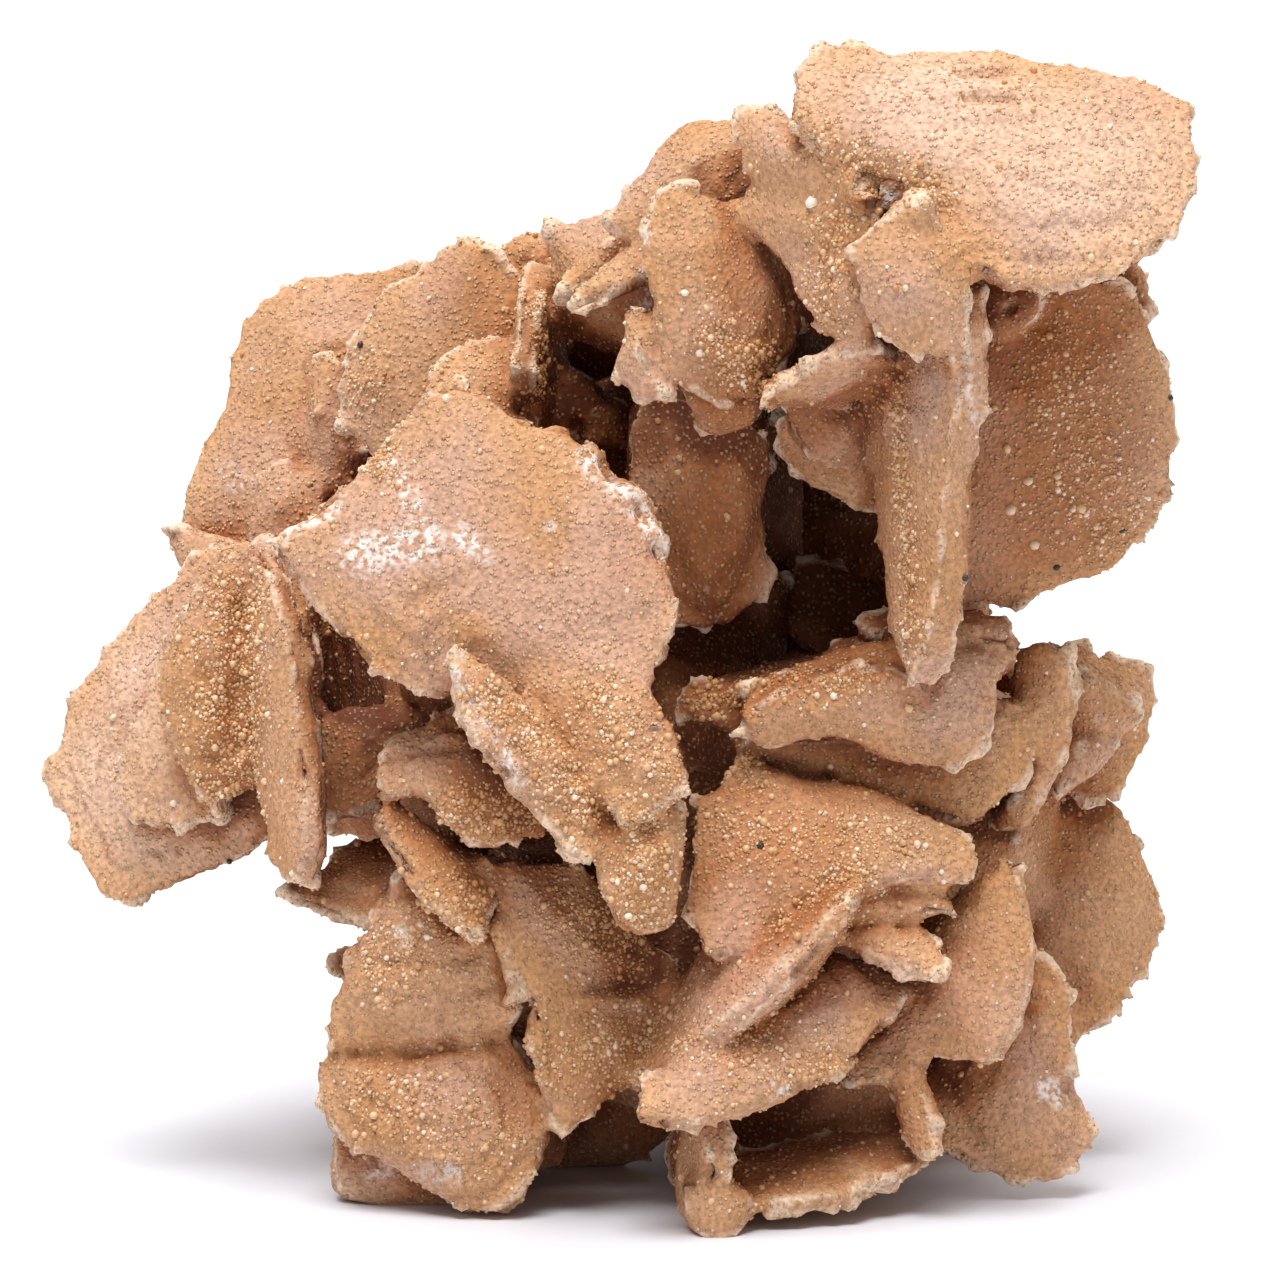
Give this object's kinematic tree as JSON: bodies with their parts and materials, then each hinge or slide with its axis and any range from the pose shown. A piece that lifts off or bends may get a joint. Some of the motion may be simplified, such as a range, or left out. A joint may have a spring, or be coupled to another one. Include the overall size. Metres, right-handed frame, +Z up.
{
  "type": "gypsum sand rose",
  "caption": "Natural cluster of thin lens-shaped gypsum blades grown into each other in dune sand, standing on its own feet as a display specimen.",
  "frame": {"origin": "middle of the bounding box at the bottom, on the plane that the feet stand on", "axes": "+Z up; +Y runs from the displayed front to the back, so the front looks towards -Y; +X to the right when the front is seen"},
  "size_m": [0.0708, 0.0526, 0.0712],
  "materials": {
    "sandy_gypsum": "rough, crusted with fine sand"
  },
  "bodies": {
    "root": {"sand_rose": "sandy_gypsum"}
  },
  "joints": []
}
